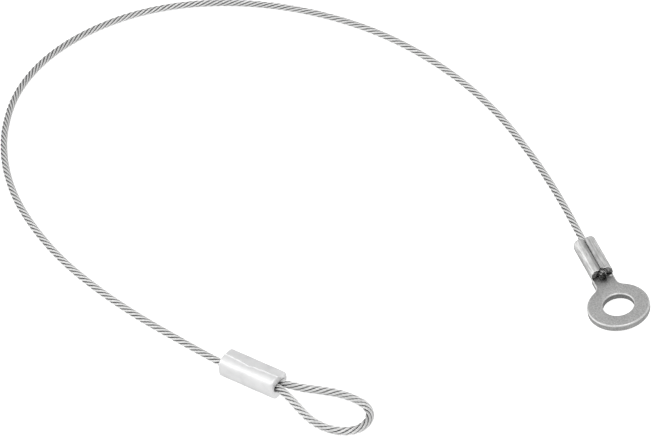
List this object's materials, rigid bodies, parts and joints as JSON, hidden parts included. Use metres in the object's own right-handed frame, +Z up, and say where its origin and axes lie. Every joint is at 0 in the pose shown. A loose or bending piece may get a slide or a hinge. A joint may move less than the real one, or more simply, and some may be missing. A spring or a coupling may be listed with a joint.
{
  "type": "wire rope sling",
  "caption": "Light stranded steel wire rope sling with a pressed-ferrule soft eye at one end and a crimped flat eye lug at the other; the rope flexes along its length.",
  "frame": {"origin": "on the surface the sling lies on, midway between the two metal fittings: the bottom centre of the box round the eye lug and the ferrule", "axes": "+X from the ferrule towards the eye lug, +Y towards the far bow of the rope, +Z up from the surface"},
  "size_m": [0.1364, 0.1423, 0.0055],
  "materials": {
    "lug": "satin stainless sheet, sheared and rolled",
    "rope": "drawn stainless wire, stranded, bright satin",
    "ferrule": "bright pressed aluminium"
  },
  "bodies": {
    "lug": {"eye_lug": "lug", "rope_end_in_lug": "rope"},
    "rope_1": {"rope_run_1": "rope"},
    "rope_2": {"rope_run_2": "rope"},
    "rope_3": {"rope_run_3": "rope"},
    "rope_4": {"rope_run_4": "rope"},
    "rope_5": {"rope_run_5": "rope"},
    "rope_6": {"rope_run_6": "rope"},
    "rope_7": {"rope_run_7": "rope"},
    "rope_8": {"rope_run_8": "rope"},
    "rope_9": {"rope_run_9": "rope"},
    "eye": {"rope_soft_eye": "rope", "ferrule": "ferrule"}
  },
  "joints": [
    {"name": "lift_at_lug", "type": "hinge", "parent": "rope_1", "child": "lug", "pos_m": [0.02815, 0.03351, 0.00276], "axis": [-0.9539, -0.3002, 0], "range_deg": [0, 45], "stiffness_Nm_per_rad": 0.02},
    {"name": "bend_1", "type": "hinge", "parent": "rope_2", "child": "rope_1", "pos_m": [0.01921, 0.0582, 0.00151], "axis": [0, 0, -1], "range_deg": [-12, 3.5], "stiffness_Nm_per_rad": 0.02},
    {"name": "bend_2", "type": "hinge", "parent": "rope_3", "child": "rope_2", "pos_m": [0.00333, 0.08416, 0.00081], "axis": [0, 0, -1], "range_deg": [-21, 3.5], "stiffness_Nm_per_rad": 0.02},
    {"name": "bend_3", "type": "hinge", "parent": "rope_4", "child": "rope_3", "pos_m": [-0.02103, 0.10246, 0.0008], "axis": [0, 0, -1], "range_deg": [-27, 3.5], "stiffness_Nm_per_rad": 0.02},
    {"name": "bend_4", "type": "hinge", "parent": "rope_5", "child": "rope_4", "pos_m": [-0.05085, 0.10741, 0.0008], "axis": [0, 0, -1], "range_deg": [-34, 3.5], "stiffness_Nm_per_rad": 0.02},
    {"name": "bend_5", "type": "hinge", "parent": "rope_5", "child": "rope_6", "pos_m": [-0.07789, 0.09434, 0.0008], "axis": [0, 0, 1], "range_deg": [-38, 3.5], "stiffness_Nm_per_rad": 0.02},
    {"name": "bend_6", "type": "hinge", "parent": "rope_6", "child": "rope_7", "pos_m": [-0.09101, 0.06736, 0.0008], "axis": [0, 0, 1], "range_deg": [-34, 3.5], "stiffness_Nm_per_rad": 0.02},
    {"name": "bend_7", "type": "hinge", "parent": "rope_7", "child": "rope_8", "pos_m": [-0.0869, 0.03726, 0.0008], "axis": [0, 0, 1], "range_deg": [-24, 3.5], "stiffness_Nm_per_rad": 0.02},
    {"name": "bend_8", "type": "hinge", "parent": "rope_8", "child": "rope_9", "pos_m": [-0.07091, 0.01133, 0.00143], "axis": [0, 0, 1], "range_deg": [-14, 3.5], "stiffness_Nm_per_rad": 0.02},
    {"name": "lift_at_ferrule", "type": "hinge", "parent": "rope_9", "child": "eye", "pos_m": [-0.05159, -0.00789, 0.00253], "axis": [-0.6544, -0.7562, 0], "range_deg": [0, 45], "stiffness_Nm_per_rad": 0.02}
  ]
}
